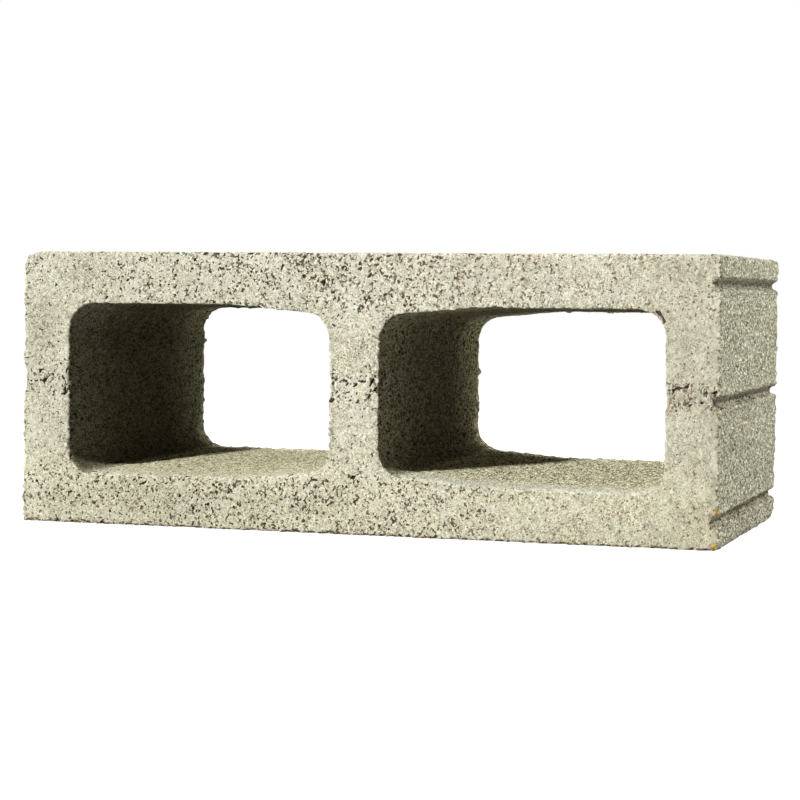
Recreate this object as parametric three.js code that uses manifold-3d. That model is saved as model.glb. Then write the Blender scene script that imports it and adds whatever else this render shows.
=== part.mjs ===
// Hollow concrete block with two cores, moulded in one piece, lying on one of its face shells.
//
// Axes, in millimetres: X runs along the block's length, Y along its cores, Z up.
// The origin is the middle of the face shell that the block lies on.
// The bed face at -Y was the top of the mould: the core plugs were drawn out through it,
// so both cores narrow from there toward +Y.
import * as THREE from 'three';
import { mergeVertices } from 'three/addons/utils/BufferGeometryUtils.js';
import Module from 'manifold-3d';

// The block's outer size
const LENGTH = 390;
const COURSE_HEIGHT = 190;
const THICKNESS = 150;
const CORNER_RADIUS = 2; // along the four edges that run with the cores
const ARRIS_RADIUS = 1.2; // round both bed faces, less than CORNER_RADIUS

// Walls, measured at the wide mouths of the cores
const FACE_SHELL = 28;
const END_WEB = 28;
const CENTRE_WEB = 26.8;

// Draft: how much nearer each core wall is to the core's axis at the narrow mouth
const WEB_DRAFT = 1.7;
const SHELL_DRAFT = 3.2;

// Cores: round corners, and face shells that thicken on the way to the centre web
const CORE_CORNER_RADIUS = 15;
const FLARE_RUN = 56;
const FLARE_RISE = 5;
const FLARE_BEND_RADIUS = 200;
const MOUTH_RADIUS = 2;

// Grooves that run with the cores down the +X end; the -X end is plain
const GROOVE_COUNT = 3;
const GROOVE_PITCH = 60;
const GROOVE_MOUTH = 7.5;
const GROOVE_FLOOR = 4.5;
const GROOVE_DEPTH = 3.6;

// Fineness of the curves
const ARC_DIVISIONS = 4;
const EDGE_STEPS = 4;
const PLUG_OVERRUN = 1; // how far a core plug stands out of each bed face

// A closed outline through [x, y, radius] corners, anticlockwise, each corner rounded by an arc.
function roundedOutline(corners) {
  const shape = new THREE.Shape();
  corners.forEach(([x, y, radius], index) => {
    const corner = new THREE.Vector2(x, y);
    const toward = ([nextX, nextY]) => new THREE.Vector2(nextX, nextY).sub(corner).normalize();
    const back = toward(corners.at(index - 1));
    const ahead = toward(corners[(index + 1) % corners.length]);
    const halfAngle = Math.acos(back.dot(ahead)) / 2;
    const tangent = radius / Math.tan(halfAngle);
    const start = corner.clone().addScaledVector(back, tangent);
    if (index === 0) shape.moveTo(start.x, start.y);
    else shape.lineTo(start.x, start.y);
    if (radius === 0) return;

    const middle = back.clone().add(ahead).normalize();
    const centre = corner.clone().addScaledVector(middle, radius / Math.sin(halfAngle));
    const end = corner.clone().addScaledVector(ahead, tangent);
    const turnsRight = back.cross(ahead) > 0;
    shape.absarc(centre.x, centre.y, radius, start.sub(centre).angle(), end.sub(centre).angle(), turnsRight);
  });
  shape.closePath();
  return shape;
}

// Turns a piece extruded along its own Z, up from zero, to run along Y about the block's middle.
function layAlongCores(geometry, extrudedDepth) {
  geometry.translate(0, 0, -extrudedDepth / 2);
  geometry.rotateX(Math.PI / 2);
  return geometry;
}

// The grooved end of the block in section, between its bottom and top corners.
function grooveCorners() {
  const corners = [];
  for (let groove = 0; groove < GROOVE_COUNT; groove += 1) {
    const middle = THICKNESS / 2 + (groove - (GROOVE_COUNT - 1) / 2) * GROOVE_PITCH;
    corners.push(
      [LENGTH / 2, middle - GROOVE_MOUTH / 2, 0],
      [LENGTH / 2 - GROOVE_DEPTH, middle - GROOVE_FLOOR / 2, 0],
      [LENGTH / 2 - GROOVE_DEPTH, middle + GROOVE_FLOOR / 2, 0],
      [LENGTH / 2, middle + GROOVE_MOUTH / 2, 0],
    );
  }
  return corners;
}

// The block before its cores: its section, with the edges rounded at both bed faces.
function blockBody() {
  const outline = roundedOutline([
    [-LENGTH / 2, 0, CORNER_RADIUS],
    [LENGTH / 2, 0, CORNER_RADIUS],
    ...grooveCorners(),
    [LENGTH / 2, THICKNESS, CORNER_RADIUS],
    [-LENGTH / 2, THICKNESS, CORNER_RADIUS],
  ]);
  const straight = COURSE_HEIGHT - 2 * ARRIS_RADIUS;
  const geometry = new THREE.ExtrudeGeometry(outline, {
    depth: straight,
    curveSegments: ARC_DIVISIONS,
    bevelThickness: ARRIS_RADIUS,
    bevelSize: ARRIS_RADIUS,
    bevelOffset: -ARRIS_RADIUS,
    bevelSegments: EDGE_STEPS,
  });
  return layAlongCores(geometry, straight);
}

// The right-hand core's wide mouth, centred on the core's own axis.
function coreOutline(halfWidth, halfHeight) {
  const bend = FLARE_RUN - halfWidth;
  return roundedOutline([
    [-halfWidth, FLARE_RISE - halfHeight, CORE_CORNER_RADIUS],
    [bend, -halfHeight, FLARE_BEND_RADIUS],
    [halfWidth, -halfHeight, CORE_CORNER_RADIUS],
    [halfWidth, halfHeight, CORE_CORNER_RADIUS],
    [bend, halfHeight, FLARE_BEND_RADIUS],
    [-halfWidth, halfHeight - FLARE_RISE, CORE_CORNER_RADIUS],
  ]);
}

// Sections of a core plug as [position, growth]: positions from the narrow bed face (+Y) to the
// wide one (-Y), and how far the rounded edge of each mouth opens the core there.
function plugSections() {
  const face = COURSE_HEIGHT / 2;
  const mouth = [];
  for (let step = 0; step <= EDGE_STEPS; step += 1) {
    const angle = (step / EDGE_STEPS) * (Math.PI / 2);
    mouth.push([face - MOUTH_RADIUS * (1 - Math.sin(angle)), MOUTH_RADIUS * (1 - Math.cos(angle))]);
  }
  const wideMouth = [...mouth, [face + PLUG_OVERRUN, MOUTH_RADIUS]];
  const narrowMouth = wideMouth.map(([position, growth]) => [-position, growth]).reverse();
  return [...narrowMouth, ...wideMouth];
}

// The solid that one core takes out of the block: side is 1 for the right core, -1 for the left.
function corePlug(side) {
  const innerWall = CENTRE_WEB / 2;
  const outerWall = LENGTH / 2 - END_WEB;
  const halfWidth = (outerWall - innerWall) / 2;
  const halfHeight = THICKNESS / 2 - FACE_SHELL;
  const sections = plugSections();
  const steps = sections.length - 1;
  const geometry = new THREE.ExtrudeGeometry(coreOutline(halfWidth, halfHeight), {
    depth: steps,
    steps,
    curveSegments: ARC_DIVISIONS,
    bevelEnabled: false,
  });

  const points = geometry.attributes.position;
  for (let index = 0; index < points.count; index += 1) {
    const [position, growth] = sections[Math.round(points.getZ(index))];
    const towardNarrow = 0.5 - position / COURSE_HEIGHT;
    const widthScale = 1 + (growth - WEB_DRAFT * towardNarrow) / halfWidth;
    const heightScale = 1 + (growth - SHELL_DRAFT * towardNarrow) / halfHeight;
    points.setXYZ(index, points.getX(index) * widthScale, points.getY(index) * heightScale, position);
  }
  layAlongCores(geometry, 0);
  if (side < 0) geometry.rotateY(Math.PI);
  return geometry.translate(side * (innerWall + halfWidth), 0, THICKNESS / 2);
}

const wasm = await Module();
wasm.setup();

function toSolid(geometry) {
  const bare = geometry.clone();
  bare.deleteAttribute('normal');
  bare.deleteAttribute('uv');
  const merged = mergeVertices(bare);
  return new wasm.Manifold(new wasm.Mesh({
    numProp: 3,
    vertProperties: new Float32Array(merged.attributes.position.array),
    triVerts: new Uint32Array(merged.index.array),
  }));
}

function toGeometry(solid) {
  const { vertProperties, triVerts } = solid.getMesh();
  const indexed = new THREE.BufferGeometry();
  indexed.setAttribute('position', new THREE.BufferAttribute(vertProperties, 3));
  indexed.setIndex(new THREE.BufferAttribute(triVerts, 1));
  const faceted = indexed.toNonIndexed();
  faceted.computeVertexNormals();
  return faceted;
}

const cored = toSolid(blockBody())
  .subtract(toSolid(corePlug(1)))
  .subtract(toSolid(corePlug(-1)));

const concrete = new THREE.MeshStandardMaterial({ color: 0xc4bfab, roughness: 0.95, metalness: 0 });
const block = new THREE.Mesh(toGeometry(cored), concrete);
block.name = 'concrete_block';

const group = new THREE.Group();
group.add(block);

export default group;
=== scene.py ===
"""A hollow concrete block lying on its face shell: one moulded piece of open-textured buff concrete.

The block runs along X, its two cores along Y. The bed face at -Y was the top of the mould: it is
the tamped one, with the wide core mouths and the rough band where the core bar crossed the webs.
"""
import itertools
import math

import bmesh
import bpy
import numpy as np
from mathutils import Matrix, Vector, noise


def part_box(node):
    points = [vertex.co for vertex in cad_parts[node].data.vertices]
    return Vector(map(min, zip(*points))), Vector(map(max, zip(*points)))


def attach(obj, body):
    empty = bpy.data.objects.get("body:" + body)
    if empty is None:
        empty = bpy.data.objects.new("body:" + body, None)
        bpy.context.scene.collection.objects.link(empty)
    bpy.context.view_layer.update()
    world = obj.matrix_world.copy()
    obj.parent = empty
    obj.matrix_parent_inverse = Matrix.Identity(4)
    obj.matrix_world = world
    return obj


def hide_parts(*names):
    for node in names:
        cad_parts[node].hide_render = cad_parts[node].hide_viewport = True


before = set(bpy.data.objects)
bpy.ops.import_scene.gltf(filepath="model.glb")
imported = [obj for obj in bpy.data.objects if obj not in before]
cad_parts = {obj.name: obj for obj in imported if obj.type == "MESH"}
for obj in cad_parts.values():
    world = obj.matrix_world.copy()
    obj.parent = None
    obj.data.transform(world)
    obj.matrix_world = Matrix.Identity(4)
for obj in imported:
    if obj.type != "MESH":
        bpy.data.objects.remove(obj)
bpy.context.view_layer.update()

MM = 0.001

# The block, from the frame: half its length and half its course height, and its thickness, in mm
lowest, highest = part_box("concrete_block")
HALF_LENGTH = highest.x / MM
HALF_COURSE = highest.y / MM
THICKNESS = highest.z / MM

# Cores, in mm: walls at the wide mouths, and what each wall gains by the narrow mouths
FACE_SHELL = 28
END_WEB = 28
CENTRE_WEB = 26.8
WEB_DRAFT = 1.7
SHELL_DRAFT = 3.2
CORE_CORNER = 15
FLARE_RUN = 56
FLARE_RISE = 5

# Grooves in the one end, in mm: from one to the next, and how wide at the mouth
GROOVE_PITCH = 60
GROOVE_MOUTH = 7.5

# The texture is drawn out along Y, the way the block left the mould: it is this much finer across
DRAWN_OUT = 0.5

# Mesh: voxels that the relief is worked on, halved again where the tamped face and its rims are
# looked at closely, and the triangles kept there and on the rest
VOXEL = 1.0 * MM
CLOSE_DEPTH = 5
CLOSE_TRIANGLES = 104_000
OTHER_TRIANGLES = 92_000

# Core bar: the rough, poorly tamped band that it left across the webs
BAND_HEIGHT = 79
BAND_HALF_WIDTH = 7

# The largest voids torn open in the tamped face, in mm: along, up, and radius
OPEN_VOIDS = (
    (0, 31, 1.3), (-100, 17, 0.7), (46, 19, 0.8), (-92, 11, 0.6), (-78, 20, 0.6), (77, 22, 0.6),
    (151, 18, 0.6), (-144, 125, 0.7), (-132, 134, 0.7), (-92, 146, 0.8), (-29, 137, 0.8), (-18, 140, 0.9),
    (-12, 129, 0.6), (8, 138, 0.8), (17, 128, 0.8), (31, 123, 0.7), (-173, 37, 0.6),
)

# Single voids where the core bar's band is most broken, in mm: along, up, and radius
BAND_VOIDS = (
    (-187, 78, 0.8), (-185, 84, 0.8), (-182, 79, 1.0), (-180, 76, 0.8), (-177, 82, 0.8), (-12, 72, 1.0),
    (-13, 81, 0.6), (-10, 83, 0.6), (-10, 76, 0.6), (-5, 73, 0.6), (-4, 80, 0.6), (-2, 72, 0.7),
    (2, 71, 0.6), (3, 76, 0.6), (8, 74, 0.7), (8, 79, 0.6), (9, 77, 0.6), (10, 82, 1.4), (13, 78, 1.5),
    (178, 83, 1.1), (171, 80, 0.8), (186, 75, 0.8), (193, 80, 1.4),
)

# Voids that run together into cracks, in mm: how wide, then each turn as along and up
CRACKS = (
    (0.8, (-1, 79), (1, 80)), (0.9, (3, 82), (6, 82)), (0.8, (-171, 81), (-169, 77), (-170, 74)),
    (1.1, (-168, 73), (-171, 71)), (0.7, (-168, 85), (-169, 81)), (0.7, (-18, 141), (-17, 136), (-18, 133)),
    (0.7, (169, 81), (174, 82), (179, 83)), (0.6, (173, 71), (177, 72), (181, 74)),
    (0.6, (188, 82), (188, 78)), (0.7, (-124, 23), (-121, 24), (-120, 27)),
    (1.5, (163, 120), (165, 118), (166, 116)),
)

# Crumbs that the stripped mould left on the rims of the narrow mouths, in mm: along, up, radius
RIM_CRUMBS = (
    (15.5, 81.5, 2.1), (91, 32, 1.9), (39.5, 35.5, 1.6), (28.5, 36, 1.5), (61.5, 32, 1.3),
    (15.5, 63, 1.2), (15.5, 97, 1.1), (-165.5, 98, 1.2), (-165.5, 60, 1.2), (120, 32, 1.2),
    (97, 118.5, 1.2), (100, 118, 1.5), (104.5, 119, 1.1), (75, 119.5, 0.9), (142, 118, 1.0),
    (-128, 119, 1.1),
)

# Paler and darker marks on the tamped face, in mm: along, up, how wide, how high; and how much
STAINS = (
    (-158, 136, 22, 18, -0.10), (-115, 16, 85, 18, -0.10), (172.5, 116, 3.5, 34, 0.10),
    (-189, 40, 8, 60, 0.09), (-123, 26, 4, 3, 0.16), (-48.5, 28.9, 2.6, 2.2, 0.16),
    (-9.4, 124.9, 3.2, 4.5, 0.12), (-181, 110, 16, 28, -0.12), (64.8, 8.2, 3.0, 2.4, 0.14),
    (179, 15, 14, 16, -0.10), (0, 118, 12, 24, 0.05), (0, 50, 12, 22, 0.06), (-160, 14, 50, 14, -0.04),
)

# The voids of the tamped face lean: most are drawn out up and to the right, at this angle
LEAN = math.radians(52)

# Relief, in mm: its fine, middle and broad lumps; how far apart the voids lie, and the widest radius
FINE_LUMPS = 2.0
MIDDLE_LUMPS = 4.5
BROAD_LUMPS = 26
VOID_SPACING = 3.2
WIDEST_VOID = 0.9

# What the concrete is seen to be made of, in mm across
DUST = 0.62
SAND = 1.3
GRIT = 2.7
PEBBLE = 6.5
CRACK_CELL = (3.4, 1.6, 1.5)
PORE_CELL = (1.6, 1.2, 1.0)

# Fixed random numbers for the voids: three for where each one lies and one for how wide it is
CHANCES = np.random.RandomState(7).rand(65_537, 4)


def smooth_step(low, high, value):
    """0 below low, 1 above high, smooth between them; low may be the larger one."""
    t = np.clip((value - low) / (high - low), 0, 1)
    return t * t * (3 - 2 * t)


def lumps(points, size, seed):
    """Smooth noise from about -1 to 1, with lumps about size mm across."""
    shift = Vector((3.1 * seed, 7.7 * seed, 5.3 * seed))
    scale = 1 / size
    return np.array([noise.noise(Vector(p) * scale + shift) for p in points.tolist()])


def scattered(points, spacing, seed):
    """For each of 27 centres scattered round every point: the way from it in mm, and its chance."""
    shifted = points / spacing + 19.3 * seed
    cell = np.floor(shifted).astype(int)
    for step in itertools.product((-1, 0, 1), repeat=3):
        home = cell + step
        chance = CHANCES[(home @ (73, 2029, 9973)) % len(CHANCES)]
        yield (shifted - home - chance[:, :3]) * spacing, chance[:, 3]


def leaning(vectors, longer, narrower):
    """Vectors turned to lie along the lean, then made finer along it and coarser across it."""
    along = vectors[:, 0] * math.cos(LEAN) + vectors[:, 2] * math.sin(LEAN)
    across = vectors[:, 2] * math.cos(LEAN) - vectors[:, 0] * math.sin(LEAN)
    return np.stack([along / longer, vectors[:, 1], across / narrower], axis=1)


def core_distance(points):
    """Distance in mm, in the plane of the bed faces, out from the wall of the nearer core."""
    toward_narrow = 0.5 + points[:, 1] / (2 * HALF_COURSE)
    inner = CENTRE_WEB / 2 + WEB_DRAFT * toward_narrow
    outer = HALF_LENGTH - END_WEB - WEB_DRAFT * toward_narrow
    along = np.abs(points[:, 0])
    flare = FLARE_RISE * np.clip(1 - (along - inner) / FLARE_RUN, 0, 1)
    half_height = THICKNESS / 2 - FACE_SHELL - SHELL_DRAFT * toward_narrow - flare
    across = np.abs(along - (inner + outer) / 2) - (outer - inner) / 2 + CORE_CORNER
    up = np.abs(points[:, 2] - THICKNESS / 2) - half_height + CORE_CORNER
    outside = np.hypot(np.maximum(across, 0), np.maximum(up, 0))
    return outside + np.minimum(np.maximum(across, up), 0) - CORE_CORNER


def tamped_face(points):
    """1 on the tamped face, fading out over its arrises."""
    return smooth_step(6, 1, points[:, 1] + HALF_COURSE)


def inside_core(points):
    """1 on the walls of the cores, fading out over the lips of their mouths."""
    wall = smooth_step(4, 2, core_distance(points))
    return wall * smooth_step(0.6, 2.2, HALF_COURSE - np.abs(points[:, 1]))


def edge_distance(points):
    """Distance in mm along the surface to the nearest sharp edge: an outer arris or a core mouth."""
    to_end = HALF_LENGTH - np.abs(points[:, 0])
    to_bed = HALF_COURSE - np.abs(points[:, 1])
    to_shell = THICKNESS / 2 - np.abs(points[:, 2] - THICKNESS / 2)
    arris = np.sort(np.stack([to_end, to_bed, to_shell]), axis=0)[1]
    mouth = np.hypot(to_bed, core_distance(points))
    return np.maximum(np.minimum(arris, mouth), 0)


def read_mesh(mesh):
    """The places in mm, and the normals, of a mesh's points."""
    count = len(mesh.vertices)
    points = np.empty(count * 3, np.float32)
    normals = np.empty(count * 3, np.float32)
    mesh.vertices.foreach_get("co", points)
    mesh.vertices.foreach_get("normal", normals)
    return points.reshape(-1, 3).astype(float) / MM, normals.reshape(-1, 3).astype(float)


def band(points, spread):
    """1 on the core bar's band across the webs of the tamped face, fading over spread mm."""
    across = np.abs(points[:, 2] - BAND_HEIGHT + 1.5 * np.sin(points[:, 0] / 5))
    tamped = smooth_step(9, 2, points[:, 1] + HALF_COURSE)
    return tamped * smooth_step(BAND_HALF_WIDTH + spread, BAND_HALF_WIDTH - spread, across)


def openness(points):
    """How open the texture is: 0 to 1, most in the shells of the tamped face, and 0.6 more on its band."""
    along, up = points[:, 0], points[:, 2]
    tamped = tamped_face(points)
    shell = smooth_step(1, 8, np.abs(up - THICKNESS / 2) - THICKNESS / 2 + FACE_SHELL + 8)
    middle = smooth_step(110, 40, np.abs(along + 20))
    right = smooth_step(40, 130, along) * (1 - 0.4 * smooth_step(75, 120, up))
    left = smooth_step(-125, -165, along) * smooth_step(60, 100, up)
    share = 0.28 + tamped * shell * (0.5 + 0.25 * middle - 0.35 * right - 0.35 * left)
    share = share - 0.08 * tamped * right
    return np.clip(share * (1 + 0.35 * lumps(points, 20, 8)), 0, 1) + 0.6 * band(points, 2)


def void_depth(points, normals, spacing, widest, seed):
    """Depth in mm of the round voids, up to widest mm in radius, that the surface happens to cut."""
    depth = np.zeros(len(points))
    loose = openness(points)
    warped = points + 1.0 * np.stack([lumps(points, 1.9, 20 + axis) for axis in range(3)], axis=1)
    outward = leaning(normals, 1, 1)
    for way, chance in scattered(leaning(warped, 2.0, 0.8), spacing, seed):
        radius = widest * smooth_step(1 - 0.45 * loose, 1.2, chance)
        squared = (way * way).sum(axis=1)
        out = (way * outward).sum(axis=1)
        floor = out + np.sqrt(np.maximum(out * out - squared + radius * radius, 0))
        depth = np.maximum(depth, np.where(squared < radius * radius, floor, 0))
    return depth


def segment_distance(places, start, end):
    """Distance in mm from each place on the face to the straight line between two others."""
    run = end - start
    share = np.clip((places - start) @ run / (run @ run), 0, 1)
    return np.linalg.norm(places - start - share[:, None] * run, axis=1)


def named_voids(points):
    """Depth in mm of the voids and cracks that are placed one by one in the tamped face."""
    depth = np.zeros(len(points))
    face = np.nonzero(points[:, 1] < 1.5 - HALF_COURSE)[0]
    ragged = 0.9 * lumps(points[face], 1.4, 31) + 0.8 * lumps(points[face], 3.2, 32)
    for along, up, radius in OPEN_VOIDS + BAND_VOIDS:
        way = leaning(points[face] - (along, 0, up), 1.25, 0.8)
        away = np.hypot(way[:, 0], way[:, 2]) + ragged
        depth[face] = np.maximum(depth[face], 1.7 * radius * smooth_step(radius * 1.2, radius * 0.6, away))
    for width, *turns in CRACKS:
        for start, end in zip(turns, turns[1:]):
            away = segment_distance(points[face][:, [0, 2]], np.array(start), np.array(end)) + ragged
            depth[face] = np.maximum(depth[face], 1.4 * smooth_step(width * 0.8, width * 0.3, away))
    return depth


def rim_crumbs(points):
    """Height in mm of the crumbs left on the rims of the narrow mouths."""
    height = np.zeros(len(points))
    rim = np.nonzero(points[:, 1] > HALF_COURSE - 5)[0]
    for along, up, radius in RIM_CRUMBS:
        away = np.sqrt((points[rim, 0] - along) ** 2 + (points[rim, 2] - up) ** 2
                       + (points[rim, 1] - HALF_COURSE + 1) ** 2)
        height[rim] += radius * 0.9 * smooth_step(radius * 1.5, radius * 0.3, away)
    return height


def wide_mouth_lips(points):
    """The lips of the wide mouths: sharp above and beside the cores, and rubbed rounder below."""
    away = np.hypot(HALF_COURSE + points[:, 1], core_distance(points))
    below = smooth_step(THICKNESS / 2 - 34, THICKNESS / 2 - 44, points[:, 2])
    return smooth_step(2.2, 0.8, away) * 0.8 * (1 - below) - smooth_step(7, 0, away) * 1.3 * below


def off_groove(points):
    """Distance in mm, up or down, from the middle of the nearest groove."""
    off_pitch = np.abs(points[:, 2] - THICKNESS / 2) % GROOVE_PITCH
    return np.minimum(off_pitch, GROOVE_PITCH - off_pitch)


def groove_lips(points, normals):
    """Concrete to give back to the lips and sides of the grooves, which the voxels round off."""
    depth = HALF_LENGTH - points[:, 0]
    lip = smooth_step(1.6, 0.6, np.hypot(off_groove(points) - GROOVE_MOUTH / 2, depth))
    side = smooth_step(0.3, 0.9, depth) * smooth_step(5, 4.4, depth)
    side = side * smooth_step(4.6, 4.2, off_groove(points))
    return 0.45 * lip + 0.95 * side * np.abs(normals[:, 2])


def worn_corners(points):
    """Depth in mm worn off the two corners that took the most knocks."""
    depth = np.zeros(len(points))
    for corner, reach, worn in (
        ((-HALF_LENGTH, -HALF_COURSE, THICKNESS), (10, 30, 9), 3.6),
        ((HALF_LENGTH, HALF_COURSE, 0), (6, 14, 6), 2.2),
    ):
        away = np.sqrt((((points - corner) / reach) ** 2).sum(axis=1))
        depth += worn * smooth_step(1, 0, away)
    return depth


def grain_relief(points, normals, fine):
    """The grain of the whole surface, coarser on the grooved end and on the floors of the cores."""
    grooved_end = smooth_step(6, 3, HALF_LENGTH - points[:, 0])
    core_floor = inside_core(points) * smooth_step(0.3, 0.8, normals[:, 2])
    drawn = points * (1, DRAWN_OUT, 1)
    coarse = 0.8 + 0.4 * tamped_face(points) + 1.4 * grooved_end + 1.2 * core_floor
    grain = 0.15 * fine + 0.22 * lumps(drawn, MIDDLE_LUMPS, 2)
    return coarse * grain + 0.22 * lumps(drawn, BROAD_LUMPS, 3)


def crumbled_edges(points, edge):
    """Depth in mm crumbled off the sharp edges, most round the narrow mouths and at the left."""
    left = smooth_step(-140, -160, points[:, 0]) * smooth_step(115, 95, points[:, 2])
    crumble = smooth_step(3.5, 0, edge) * (1 + 1.6 * smooth_step(60, 90, points[:, 1]))
    crumble *= 1 + tamped_face(points) * (0.7 + left)
    return crumble * (0.15 + 0.8 * np.maximum(lumps(points, 5, 4), 0) + 0.7 * lumps(points, 2.2, 5))


def far_rims(points, edge):
    """The uneven rims of the face at the narrow mouths."""
    return 1.2 * smooth_step(60, 90, points[:, 1]) * smooth_step(5, 1, edge) * lumps(points, 5, 9)


def left_end_swell(points):
    """Height in mm that the left end stands proud, low down."""
    return 0.7 * smooth_step(110, 10, points[:, 2]) * smooth_step(3, 0, HALF_LENGTH + points[:, 0])


def web_lip(points, normals, edge):
    """The sharp lip that the centre web keeps on its left."""
    near = smooth_step(8, 3, np.abs(points[:, 0] + CENTRE_WEB / 2)) * smooth_step(3.5, 1, edge)
    return 0.8 * near * tamped_face(points) * smooth_step(-0.2, -0.6, normals[:, 0])


def relief(points, normals):
    """How far the cast surface stands proud of the mould's, in mm, and how hollow it is there."""
    edge = edge_distance(points)
    fine = lumps(points * (1, DRAWN_OUT, 1), FINE_LUMPS, 1)
    height = grain_relief(points, normals, fine)
    height -= crumbled_edges(points, edge)
    height += far_rims(points, edge)
    height += wide_mouth_lips(points) + groove_lips(points, normals)
    height += left_end_swell(points)
    height += web_lip(points, normals, edge)
    height -= worn_corners(points)

    rough = band(points, 2)
    height -= rough * (0.55 + 0.9 * lumps(points, 3.2, 6) + 0.5 * fine)
    height -= 1.1 * rough * smooth_step(5, 1, HALF_LENGTH + points[:, 0])

    hollow = void_depth(points, normals, VOID_SPACING, WIDEST_VOID, 1)
    hollow = np.maximum(hollow, named_voids(points))
    return height - hollow + rim_crumbs(points), hollow


def grooves(points, normals):
    """1 in the grooves of the grooved end, and less on their upper sides, which the lamps already leave in
    shade: where the grooves get painted shade and a stronger grain.
    """
    depth = HALF_LENGTH - points[:, 0]
    sunk = smooth_step(0.2, 0.7, depth) * smooth_step(5.2, 4.4, depth)
    sunk = sunk * smooth_step(4.4, 3.6, off_groove(points))
    return sunk * (0.5 + 0.5 * smooth_step(-0.3, 0.4, normals[:, 2]))


def stains(points):
    """How much lighter or darker weather and handling left the tamped face, as a share."""
    share = np.zeros(len(points))
    face = tamped_face(points)
    for along, up, wide, high, change in STAINS:
        away = np.hypot((points[:, 0] - along) / wide, (points[:, 2] - up) / high)
        share += change * smooth_step(1, 0.2, away) * face
    return share


def surface_marks(points, normals, hollow):
    """What the material needs to know of each point, as named values from 0 to 1."""
    strip = smooth_step(9, 4, HALF_COURSE + points[:, 1]) * smooth_step(6, 2, HALF_LENGTH - points[:, 0])
    left_fillet = smooth_step(0.02, 0.3, normals[:, 0])
    return {
        "inside_core": inside_core(points),
        # Where the core floors begin: on the fillets of the walls facing +X they begin later, so that the
        # cores' painted shade runs over those fillets, where the key lamp's shadow falls
        "upward": smooth_step(0.6 + 0.3 * left_fillet, 0.98 + 0.015 * left_fillet, normals[:, 2]),
        "groove": grooves(points, normals),
        "tamped": tamped_face(points),
        # Painted light on the floors of the cores near the wide mouths, fading out from 8 to 50 mm in
        "lip_painted_light": smooth_step(50, 8, points[:, 1] + HALF_COURSE) * smooth_step(0.25, 0.8, normals[:, 2]),
        # Along the bottom arris of the tamped face: reddish chips, and painted shade where the block meets
        # the floor
        "foot": smooth_step(1.6, 0.5, points[:, 2]) * smooth_step(3, 1, points[:, 1] + HALF_COURSE),
        "end_face": smooth_step(1.6, 0.4, HALF_LENGTH - np.abs(points[:, 0])),
        "turned_left": inside_core(points) * smooth_step(-0.2, -0.7, normals[:, 0]),
        "paste_strip": strip,
        "stain": stains(points),
        "open_texture": np.clip(openness(points), 0, 1),
        # How deep the mesh's voids are, for the painted shade in them
        "hollow": np.clip(hollow / 0.8, 0, 1),
    }


def split_close_faces(mesh):
    """Halve the squares of the tamped face and its rims, where the relief is seen closest."""
    shape = bmesh.new()
    shape.from_mesh(mesh)
    limit = (CLOSE_DEPTH - HALF_COURSE) * MM
    edges = [edge for edge in shape.edges if max(v.co.y for v in edge.verts) < limit]
    bmesh.ops.subdivide_edges(shape, edges=edges, cuts=1, use_grid_fill=True)
    shape.to_mesh(mesh)
    shape.free()


def apply_modifiers(piece):
    """Make the piece's modified shape its own mesh."""
    graph = bpy.context.evaluated_depsgraph_get()
    finished = bpy.data.meshes.new_from_object(piece.evaluated_get(graph))
    piece.modifiers.clear()
    piece.data = finished


def thin(piece, part, keep, invert):
    """Thin the mesh inside (or outside) the named part, down to keep triangles in the whole mesh."""
    modifier = piece.modifiers.new("thin", "DECIMATE")
    modifier.vertex_group = part
    modifier.invert_vertex_group = invert
    modifier.ratio = keep / sum(len(face.vertices) - 2 for face in piece.data.polygons)
    apply_modifiers(piece)


def voxel_copy():
    """The moulded shape as an even skin of small squares, halved again on the tamped face."""
    shape = bmesh.new()
    shape.from_mesh(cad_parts["concrete_block"].data)
    bmesh.ops.remove_doubles(shape, verts=shape.verts, dist=0.001 * MM)
    mesh = bpy.data.meshes.new("moulded_shape")
    shape.to_mesh(mesh)
    shape.free()

    block = bpy.data.objects.new("cast_block", mesh)
    bpy.context.scene.collection.objects.link(block)
    voxels = block.modifiers.new("voxels", "REMESH")
    voxels.mode = "VOXEL"
    voxels.voxel_size = VOXEL
    apply_modifiers(block)
    split_close_faces(block.data)
    return block


def thin_block(block, points):
    """Thin the far part of the block's mesh, then the tamped face and its rims."""
    close = np.nonzero(points[:, 1] < CLOSE_DEPTH - HALF_COURSE)[0]
    far = np.setdiff1d(np.arange(len(points)), close)
    block.vertex_groups.new(name="far").add(far.tolist(), 1, "REPLACE")
    limit = (CLOSE_DEPTH - HALF_COURSE) * MM
    close_now = sum(len(face.vertices) - 2 for face in block.data.polygons if face.center.y < limit)
    thin(block, "far", OTHER_TRIANGLES + close_now, False)
    thin(block, "far", OTHER_TRIANGLES + CLOSE_TRIANGLES, True)
    block.vertex_groups.clear()


def concrete_mesh():
    """The block's mesh: the moulded shape, its relief worked in on fine voxels, then thinned."""
    block = voxel_copy()
    points, normals = read_mesh(block.data)
    height, hollow = relief(points, normals)
    moved = points + normals * height[:, None]
    block.data.vertices.foreach_set("co", (moved * MM).astype(np.float32).ravel())
    for name, values in surface_marks(points, normals, hollow).items():
        mark = block.data.attributes.new(name, "FLOAT", "POINT")
        mark.data.foreach_set("value", values.astype(np.float32))
    block.data.update()
    thin_block(block, points)
    block.data.shade_smooth()
    return block


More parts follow.
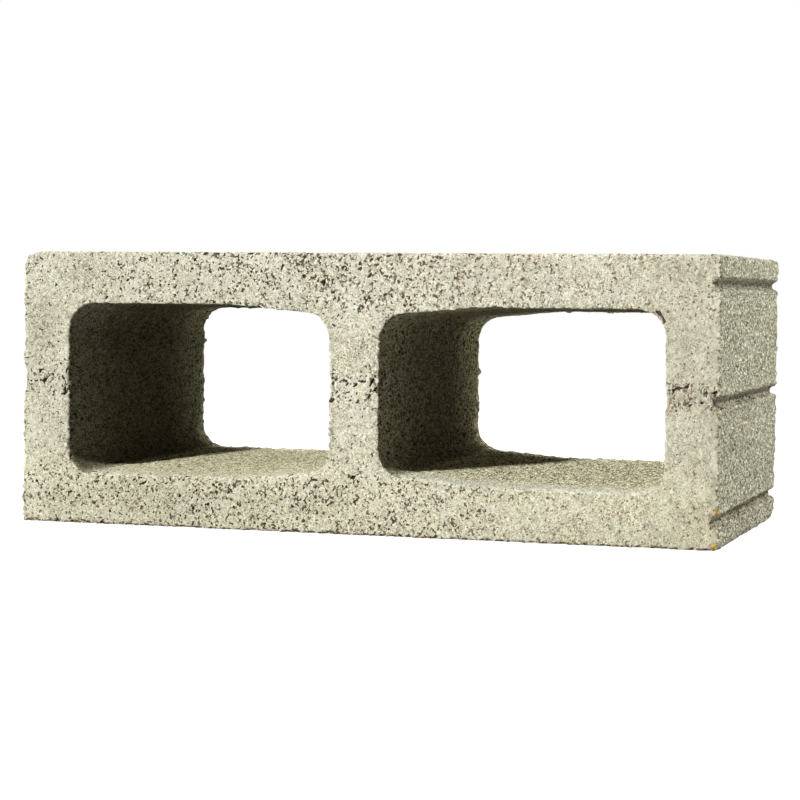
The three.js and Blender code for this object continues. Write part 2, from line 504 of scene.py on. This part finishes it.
class Pattern:
    """Short names for the shader nodes that a material is put together from."""

    def __init__(self, material):
        material.use_nodes = True
        self.nodes = material.node_tree.nodes
        self.links = material.node_tree.links
        self.shader = self.nodes["Principled BSDF"]

    def feed(self, socket, value):
        """Link another node's output to the socket, or set it to a plain value."""
        if isinstance(value, bpy.types.NodeSocket):
            self.links.new(value, socket)
        else:
            socket.default_value = value

    def math(self, operation, a, b=0.0):
        node = self.nodes.new("ShaderNodeMath")
        node.operation = operation
        self.feed(node.inputs[0], a)
        self.feed(node.inputs[1], b)
        return node.outputs[0]

    def add(self, a, b):
        return self.math("ADD", a, b)

    def less(self, a, b):
        return self.math("SUBTRACT", a, b)

    def times(self, a, b):
        return self.math("MULTIPLY", a, b)

    def rest(self, share):
        """What a share leaves of 1."""
        return self.less(1.0, share)

    def swing(self, value, spread):
        """Value from 0..1 to -spread/2..spread/2."""
        return self.times(self.less(value, 0.5), spread)

    def ramp(self, value, low, high, to_low=0.0, to_high=1.0):
        """Take value from low..high to to_low..to_high, eased and held at both ends."""
        node = self.nodes.new("ShaderNodeMapRange")
        node.interpolation_type = "SMOOTHSTEP"
        for socket, number in zip(node.inputs, (value, low, high, to_low, to_high)):
            self.feed(socket, number)
        return node.outputs["Result"]

    def mark(self, name):
        """A value that the mesh carries at each of its points."""
        node = self.nodes.new("ShaderNodeAttribute")
        node.attribute_name = name
        return node.outputs["Fac"]

    def lumps(self, place, size, detail=2.0, rough=0.5):
        """Noise with lumps of size mm: its value, and its three-way colour."""
        node = self.nodes.new("ShaderNodeTexNoise")
        self.feed(node.inputs["Vector"], place)
        node.inputs["Scale"].default_value = 1 / size
        node.inputs["Detail"].default_value = detail
        node.inputs["Roughness"].default_value = rough
        return node.outputs[0], node.outputs[1]

    def grains(self, place, size):
        """Cells of size mm: distance from each cell's centre, and its own random colour."""
        node = self.nodes.new("ShaderNodeTexVoronoi")
        self.feed(node.inputs["Vector"], place)
        node.inputs["Scale"].default_value = 1 / size
        return node.outputs["Distance"], node.outputs["Color"]

    def channel(self, colour, index):
        node = self.nodes.new("ShaderNodeSeparateXYZ")
        self.feed(node.inputs[0], colour)
        return node.outputs[index]

    def vector(self, operation, a, b):
        node = self.nodes.new("ShaderNodeVectorMath")
        node.operation = operation
        self.feed(node.inputs[0], a)
        self.feed(node.inputs[1], b)
        return node.outputs[0]

    def centred(self, colour, spread):
        """Three-way value from 0..1 to -spread/2..spread/2."""
        return self.vector("MULTIPLY", self.vector("SUBTRACT", colour, (0.5,) * 3), (spread,) * 3)

    def leaning(self, place, sizes):
        """Places in cells of these sizes in mm, whose first axis leans up and to the right."""
        node = self.nodes.new("ShaderNodeMapping")
        node.vector_type = "TEXTURE"
        self.feed(node.inputs["Vector"], place)
        node.inputs["Rotation"].default_value = (0, -LEAN, 0)
        node.inputs["Scale"].default_value = sizes
        return node.outputs[0]

    def voids(self, place, share):
        """1 in voids, one at most in each cell of place, in about this share of the cells."""
        distance, colour = self.grains(place, 1)
        chance = self.channel(colour, 1)
        width = self.ramp(self.less(self.add(chance, share), 1.0), 0.0, 0.22, 0.0, 0.44)
        inside = self.ramp(self.less(distance, width), 0.06, -0.08)
        return self.times(inside, self.ramp(width, 0.04, 0.16))

    def cracks(self, place, width):
        """1 in the cracks between the cells of place, this share of a cell wide; and 1 on their rims."""
        node = self.nodes.new("ShaderNodeTexVoronoi")
        node.feature = "DISTANCE_TO_EDGE"
        self.feed(node.inputs["Vector"], place)
        node.inputs["Scale"].default_value = 1
        away = self.less(node.outputs["Distance"], width)
        is_open = self.ramp(width, 0.01, 0.05)
        crack = self.times(self.ramp(away, 0.02, -0.04), is_open)
        rim = self.times(self.ramp(away, 0.25, 0.1), is_open)
        return crack, rim

    def colours(self, value, stops):
        """A colour for each value, blended between the stops."""
        node = self.nodes.new("ShaderNodeValToRGB")
        ramp = node.color_ramp
        while len(ramp.elements) < len(stops):
            ramp.elements.new(0.5)
        for element, (position, colour) in zip(ramp.elements, stops):
            element.position = position
            element.color = colour
        self.feed(node.inputs[0], value)
        return node.outputs[0]

    def mix(self, share, a, b):
        node = self.nodes.new("ShaderNodeMix")
        node.data_type = "RGBA"
        self.feed(node.inputs[0], share)
        self.feed(node.inputs[6], a)
        self.feed(node.inputs[7], b)
        return node.outputs[2]

    def tinted(self, share, colour, tint):
        """The colour, and times the tint where share is 1."""
        return self.mix(share, colour, self.vector("MULTIPLY", colour, tint))


# Colours of the concrete from its darkest voids to its palest grains: how light, and the colour
CONCRETE_COLOURS = (
    (0.00, (0.026, 0.018, 0.010, 1)), (0.28, (0.20, 0.180, 0.115, 1)), (0.60, (0.595, 0.570, 0.440, 1)),
    (0.80, (0.760, 0.745, 0.620, 1)), (1.00, (0.900, 0.890, 0.790, 1)),
)
PEBBLE_TINT = (0.99, 1.0, 1.03)
END_TINT = (1.17, 1.17, 1.06)
LOW_TINT = (1.08, 1.08, 1.04)
FLOOR_TINT = (1.23, 1.20, 1.03)
# Painted shade on the walls and ceilings of the cores, darker in the left core than in the right
LEFT_CORE_PAINTED_SHADE = (0.32, 0.315, 0.245, 1)
RIGHT_CORE_PAINTED_SHADE = (0.50, 0.49, 0.375, 1)
# Painted shade: the core walls and ceilings darkest halfway along the cores, away from both mouths
DEEP_PAINTED_SHADE = (0.71, 0.69, 0.63)
# Painted light: the core walls and ceilings paler toward the narrow mouths, as if lit from behind
BACK_PAINTED_LIGHT = (2.3, 2.3, 2.3)
FOOT_TINT = (1.0, 0.8, 0.7)
# Painted shade in the voids, cracks and pores: near black, and reddish brown where they are dusty
VOID_PAINTED_SHADE = (0.06, 0.06, 0.035, 1)
DUSTY_VOID_PAINTED_SHADE = (0.22, 0.13, 0.12, 1)
RUST = (0.78, 0.45, 0.06, 1)
# Flecks of rust, in mm: along, up, and how wide; all on the tamped face
RUST_FLECKS = (
    (194.0, 19.9, 1.7), (193.2, 2.6, 1.7), (-88.5, 26.5, 1.6), (66.4, 144.9, 0.7), (148.7, 123.5, 0.8),
)


def rust_flecks(p, place):
    """How rusty a point is, from 0 to 1."""
    share = 0.0
    for along, up, width in RUST_FLECKS:
        away = p.nodes.new("ShaderNodeVectorMath")
        away.operation = "DISTANCE"
        p.links.new(place, away.inputs[0])
        away.inputs[1].default_value = (along, -HALF_COURSE * DRAWN_OUT, up)
        share = p.add(share, p.ramp(away.outputs["Value"], width, width * 0.4))
    return share


class Surface:
    """What the concrete's patterns need to know of each point of the surface."""

    def __init__(self, p):
        real_place = p.nodes.new("ShaderNodeTexCoord").outputs["Object"]
        self.place = p.vector("MULTIPLY", real_place, (1 / MM, DRAWN_OUT / MM, 1 / MM))
        self.bent = p.vector("ADD", self.place, p.centred(p.lumps(self.place, 1.6, 0)[1], 2.6))
        self.ragged = p.vector("ADD", self.place, p.centred(p.lumps(self.place, 0.7, 0)[1], 1.2))
        self.read_marks(p)
        self.find_parts(p, real_place)
        self.dust = p.centred(p.grains(self.bent, DUST)[1], 0.42)
        self.sand_distance, self.sand_colour = p.grains(self.bent, SAND)
        self.grit_distance, self.grit_colour = p.grains(self.ragged, GRIT)

    def read_marks(self, p):
        self.inside = p.mark("inside_core")
        self.upward = p.mark("upward")
        self.groove = p.mark("groove")
        self.tamped = p.mark("tamped")
        self.lip_painted_light = p.mark("lip_painted_light")
        self.foot = p.mark("foot")
        self.end = p.mark("end_face")
        self.turned_left = p.mark("turned_left")
        self.strip = p.mark("paste_strip")
        self.stain = p.mark("stain")
        self.loose = p.mark("open_texture")
        self.hollow = p.mark("hollow")

    def find_parts(self, p, real_place):
        """Parts of the block that differ, as shares from 0 to 1."""
        self.along = p.math("MULTIPLY", p.channel(real_place, 0), 1 / MM)
        across = p.channel(real_place, 1)
        self.right_half = p.ramp(self.along, -60, 60)
        self.calm = p.ramp(self.along, 20, 140)
        self.still = p.times(p.ramp(self.along, 145, 168), self.tamped)
        self.web = p.ramp(p.math("ABSOLUTE", self.along), 90, 10)
        self.back = p.ramp(across, 30 * MM, 92 * MM)
        self.deep = p.ramp(p.math("ABSOLUTE", across), 80 * MM, 25 * MM)
        self.low = p.times(p.ramp(p.channel(real_place, 2), 60 * MM, 20 * MM), p.rest(self.end))
        # The walls and ceilings of the cores, which take the painted shade
        self.in_shade = p.times(self.inside, p.rest(self.upward))
        # The painted light near the wide mouths, stronger in the right core
        lip = p.times(self.inside, self.lip_painted_light)
        self.lip = p.times(lip, self.by_half(p, 0.7, 1.0))
        self.on_floor = p.less(p.times(self.inside, self.upward), self.lip)
        self.loose_end = p.times(self.end, self.by_half(p, 0.35, 1.0))
        # Dashes along the foot: reddish chips and painted contact shadow
        self.chips_and_foot_shade = p.times(self.foot, p.ramp(p.lumps(self.place, 3.2, 1)[0], 0.42, 0.55))

    def by_half(self, p, left, right):
        """One value in the left half of the block and another in the right, blended over the web."""
        return p.add(left, p.times(self.right_half, right - left))


def pebbles_and_crowding(p, s):
    """1 on pebbles that show, smooth, through the paste; and how closely the voids gather."""
    distance, colour = p.grains(s.bent, PEBBLE)
    outline = p.ramp(distance, 0.38, 0.6)
    pebbles = p.times(p.ramp(p.channel(colour, 0), 0.5, 0.65), p.ramp(distance, 0.52, 0.38))
    crowding = p.times(p.add(0.75, p.times(outline, 0.3)), p.rest(p.times(pebbles, 0.5)))
    return pebbles, p.times(s.loose, crowding)


def voids_between_grains(p, s, crowding):
    """1 in the leaning cracks, the small pores and the torn voids; and 1 on the cracks' rims."""
    gaping = p.add(p.times(crowding, 0.14), p.times(s.loose_end, 0.16))
    gaping = p.add(p.lumps(s.place, 1.6, 1)[0], gaping)
    cracks, crack_rims = p.cracks(p.leaning(s.ragged, CRACK_CELL), p.ramp(gaping, 0.675, 0.74, 0.0, 0.3))
    cracks = p.times(cracks, p.ramp(p.lumps(s.place, 4, 1)[0], 0.38, 0.58, 0.8, 1.0))
    pore_share = p.add(p.times(crowding, 0.11), p.times(s.loose_end, 0.4))
    pores = p.voids(p.leaning(s.ragged, PORE_CELL), pore_share)
    # The voids are dark with painted shade: the cracks and pores are only in the colour, and the torn ones
    # darken the hollows cut into the mesh
    void_shade = p.math("MAXIMUM", cracks, p.times(pores, 0.9))
    void_shade = p.times(void_shade, p.rest(p.times(s.calm, 0.1)))
    void_shade = p.times(void_shade, p.rest(p.add(p.times(s.end, 0.3), p.times(s.in_shade, 0.8))))
    torn = p.add(s.hollow, p.swing(p.lumps(s.place, 0.9, 1)[0], 1.2))
    return p.math("MAXIMUM", void_shade, p.ramp(torn, 0.35, 0.6)), crack_rims


def grain_contrast(p, s, pebbles):
    """How much the grains differ: more on the core walls and the ends, less on smooth paste."""
    shaded = p.times(s.in_shade, p.rest(p.times(s.turned_left, 0.7)))
    contrast = 1.0
    for share, more in (
        (shaded, s.by_half(p, 1.5, 3.5)),
        (s.end, s.by_half(p, 0.2, 1.2)),
        (s.on_floor, s.by_half(p, 0.9, 2.3)),
        (pebbles, -0.35),
        (s.strip, -0.5),
        (s.groove, 1.0),
        (s.web, 0.1),
    ):
        contrast = p.add(contrast, p.times(share, more))
    return p.times(contrast, p.rest(p.times(s.still, 0.3)))


def speckle(p, s, pebbles):
    """Grains, each a little lighter or darker than the next, and darker where they join."""
    joints = p.ramp(s.sand_distance, 0.38, 0.75, 0.02, -0.05)
    joints = p.add(joints, p.ramp(s.grit_distance, 0.46, 0.62, 0.008, -0.035))
    tone = p.add(p.channel(s.dust, 0), p.swing(p.channel(s.sand_colour, 0), 0.08))
    tone = p.add(tone, p.swing(p.channel(s.grit_colour, 0), 0.04))
    return p.times(p.add(tone, joints), grain_contrast(p, s, pebbles))


def lightness(p, s, pebbles, crack_rims):
    """How light the concrete is, as a place in CONCRETE_COLOURS."""
    light = p.add(0.60, speckle(p, s, pebbles))
    light = p.add(light, p.swing(p.lumps(s.place, 3.5, 2)[0], p.add(0.12, p.times(s.calm, 0.06))))
    light = p.add(light, p.swing(p.lumps(s.place, 9, 1)[0], p.times(s.still, 0.22)))
    light = p.add(light, p.swing(p.lumps(s.place, 38, 3, 0.6)[0], 0.15))
    for share, change in (
        (crack_rims, 0.09),
        (pebbles, 0.02),
        (s.stain, 0.55),
        # Painted light on the core floors near the wide mouths
        (s.lip, 0.13),
        (s.calm, -0.02),
        (s.still, -0.03),
        (s.end, 0.08),
        # Painted light: the floors of the cores lighter toward the narrow mouths
        (p.times(s.on_floor, s.back), 0.09),
        # Painted shade in the grooves
        (s.groove, -0.23),
        # Painted shade in a dashed dark line along the foot of the tamped face, with its reddish chips
        (s.chips_and_foot_shade, -0.33),
    ):
        light = p.add(light, p.times(share, change))
    return light


def paste_colour(p, s, pebbles, light):
    """The colour of the concrete, but for its voids."""
    paste = p.colours(light, CONCRETE_COLOURS)
    hue = p.centred(p.lumps(s.place, 5, 1)[1], 0.07)
    hue = p.vector("ADD", hue, p.vector("MULTIPLY", s.dust, (0.08, 0.08, 0.08)))
    paste = p.vector("MULTIPLY", paste, p.vector("ADD", hue, (1, 1, 1)))
    # Painted shade on the core walls and ceilings, blended from the left core to the right
    core_painted_shade = p.mix(p.ramp(s.along, -20, 20), LEFT_CORE_PAINTED_SHADE, RIGHT_CORE_PAINTED_SHADE)
    # Painted light on the core walls and ceilings toward the narrow mouths, less in the left core
    back_painted_light = p.times(p.times(s.in_shade, s.back), s.by_half(p, 0.75, 1.0))
    for share, tint in (
        (pebbles, PEBBLE_TINT),
        (s.end, END_TINT),
        (s.low, LOW_TINT),
        (s.on_floor, FLOOR_TINT),
        (s.chips_and_foot_shade, FOOT_TINT),
        (s.in_shade, core_painted_shade),
        (back_painted_light, BACK_PAINTED_LIGHT),
        # Painted shade halfway along the cores
        (p.times(s.in_shade, s.deep), DEEP_PAINTED_SHADE),
    ):
        paste = p.tinted(share, paste, tint)
    return p.mix(rust_flecks(p, s.place), paste, RUST)


def grain_bump(p, s):
    """Rounded grains of sand and grit, standing out from the paste."""
    sand = p.times(p.ramp(s.sand_distance, 0.75, 0.1), p.add(0.38, p.times(s.end, 0.4)))
    grit = p.times(p.ramp(s.grit_distance, 0.7, 0.1), 0.45)
    bump = p.nodes.new("ShaderNodeBump")
    bump.inputs["Distance"].default_value = MM
    bump.inputs["Strength"].default_value = 0.8
    p.links.new(p.add(sand, grit), bump.inputs["Height"])
    p.links.new(bump.outputs["Normal"], p.shader.inputs["Normal"])


def concrete_material():
    """Open-textured buff concrete, with its voids, pebbles, stains and rust."""
    material = bpy.data.materials.new("open_textured_concrete")
    p = Pattern(material)
    s = Surface(p)
    pebbles, crowding = pebbles_and_crowding(p, s)
    void_shade, crack_rims = voids_between_grains(p, s, crowding)
    paste = paste_colour(p, s, pebbles, lightness(p, s, pebbles, crack_rims))
    dusty = p.times(p.ramp(s.along, -120, 160), p.rest(s.end))
    void_painted_shade = p.mix(dusty, VOID_PAINTED_SHADE, DUSTY_VOID_PAINTED_SHADE)
    # Painted shade in the voids
    p.links.new(p.tinted(void_shade, paste, void_painted_shade), p.shader.inputs["Base Color"])
    grain_bump(p, s)
    p.shader.inputs["Roughness"].default_value = 0.92
    p.shader.inputs["Specular IOR Level"].default_value = 0.02
    p.shader.inputs["Diffuse Roughness"].default_value = 0.6
    return material


block = concrete_mesh()
block.name = "concrete_block_cast"
block.data.materials.append(concrete_material())
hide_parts("concrete_block")
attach(block, "root")


# Studio: the weak light from all sides, then each lamp's name, place, aim, size and power
AMBIENT = 0.015
LAMPS = (
    ("key", (-0.45, -1.27, 0.54), (1.15, -0.62, 0.1), 0.12, 32),
    ("side", (0.95, 0.1, 0.95), (0.19, 0, 0.07), 0.35, 15.3),
    ("behind", (0.5, 1.6, 0.25), (0, 0, 0.075), 1.2, 3),
    ("left", (-1.3, 0.35, 0.5), (-0.195, 0, 0.07), 0.35, 8),
)


def to_camera(p):
    """1 for what the camera sees directly, in a mirror or through glass, and 0 for all other light."""
    path = p.nodes.new("ShaderNodeLightPath").outputs
    seen = p.math("MAXIMUM", path["Is Camera Ray"], path["Is Glossy Ray"])
    return p.math("MAXIMUM", seen, path["Is Transmission Ray"])


def floor_material():
    """Pale grey, lifted to white for the camera so that only the shadow at the block's foot shows."""
    material = bpy.data.materials.new("studio_floor")
    p = Pattern(material)
    place = p.nodes.new("ShaderNodeTexCoord").outputs["Object"]
    away = p.nodes.new("ShaderNodeVectorMath")
    away.operation = "LENGTH"
    p.links.new(p.vector("MULTIPLY", place, (0.6, 1, 1)), away.inputs[0])
    lift = p.ramp(away.outputs["Value"], 0.12, 0.6, 0.86, 1.0)
    p.shader.inputs["Base Color"].default_value = (0.45, 0.45, 0.45, 1)
    p.shader.inputs["Roughness"].default_value = 1
    p.shader.inputs["Specular IOR Level"].default_value = 0
    p.shader.inputs["Emission Color"].default_value = (1, 1, 1, 1)
    p.links.new(p.times(lift, to_camera(p)), p.shader.inputs["Emission Strength"])
    return material


def floor():
    """A level floor, far wider than the block."""
    shape = bmesh.new()
    bmesh.ops.create_grid(shape, x_segments=1, y_segments=1, size=30)
    mesh = bpy.data.meshes.new("studio_floor")
    shape.to_mesh(mesh)
    shape.free()
    piece = bpy.data.objects.new("studio_floor", mesh)
    piece.data.materials.append(floor_material())
    bpy.context.scene.collection.objects.link(piece)


def studio_world():
    """White for the camera, and a weak soft light from all sides for the block."""
    world = bpy.data.worlds.new("studio")
    world.use_nodes = True
    nodes, links = world.node_tree.nodes, world.node_tree.links
    path = nodes.new("ShaderNodeLightPath").outputs
    seen = path["Is Camera Ray"]
    for ray in ("Is Glossy Ray", "Is Transmission Ray"):
        either = nodes.new("ShaderNodeMath")
        either.operation = "MAXIMUM"
        links.new(seen, either.inputs[0])
        links.new(path[ray], either.inputs[1])
        seen = either.outputs[0]
    strength = nodes.new("ShaderNodeMapRange")
    strength.inputs["To Min"].default_value = AMBIENT
    strength.inputs["To Max"].default_value = 1
    links.new(seen, strength.inputs["Value"])
    background = nodes["Background"]
    background.inputs["Color"].default_value = (1, 1, 1, 1)
    links.new(strength.outputs["Result"], background.inputs["Strength"])
    bpy.context.scene.world = world


def area_light(name, place, aim, size, power):
    """A square lamp, in metres and watts, turned to face its aim."""
    data = bpy.data.lights.new(name, "AREA")
    data.size = size
    data.energy = power
    lamp = bpy.data.objects.new(name, data)
    lamp.location = place
    lamp.rotation_euler = (Vector(place) - Vector(aim)).to_track_quat("Z", "Y").to_euler()
    bpy.context.scene.collection.objects.link(lamp)


floor()
studio_world()
for lamp in LAMPS:
    area_light(*lamp)

# Camera, in metres and degrees
CAMERA_PLACE = (0.3914, -1.2239, 0.1286)
CAMERA_YAW = 17.95
CAMERA_PITCH = 2.70
CAMERA_ROLL = 0.58
CAMERA_LENS = 101.5


def camera():
    data = bpy.data.cameras.new("camera")
    data.lens = CAMERA_LENS
    data.sensor_width = 36
    view = bpy.data.objects.new("camera", data)
    bpy.context.scene.collection.objects.link(view)
    view.matrix_world = (
        Matrix.Translation(CAMERA_PLACE)
        @ Matrix.Rotation(math.radians(CAMERA_YAW), 4, "Z")
        @ Matrix.Rotation(math.radians(90 - CAMERA_PITCH), 4, "X")
        @ Matrix.Rotation(math.radians(CAMERA_ROLL), 4, "Z")
    )
    bpy.context.scene.camera = view


camera()
bpy.context.scene.view_settings.view_transform = "Standard"
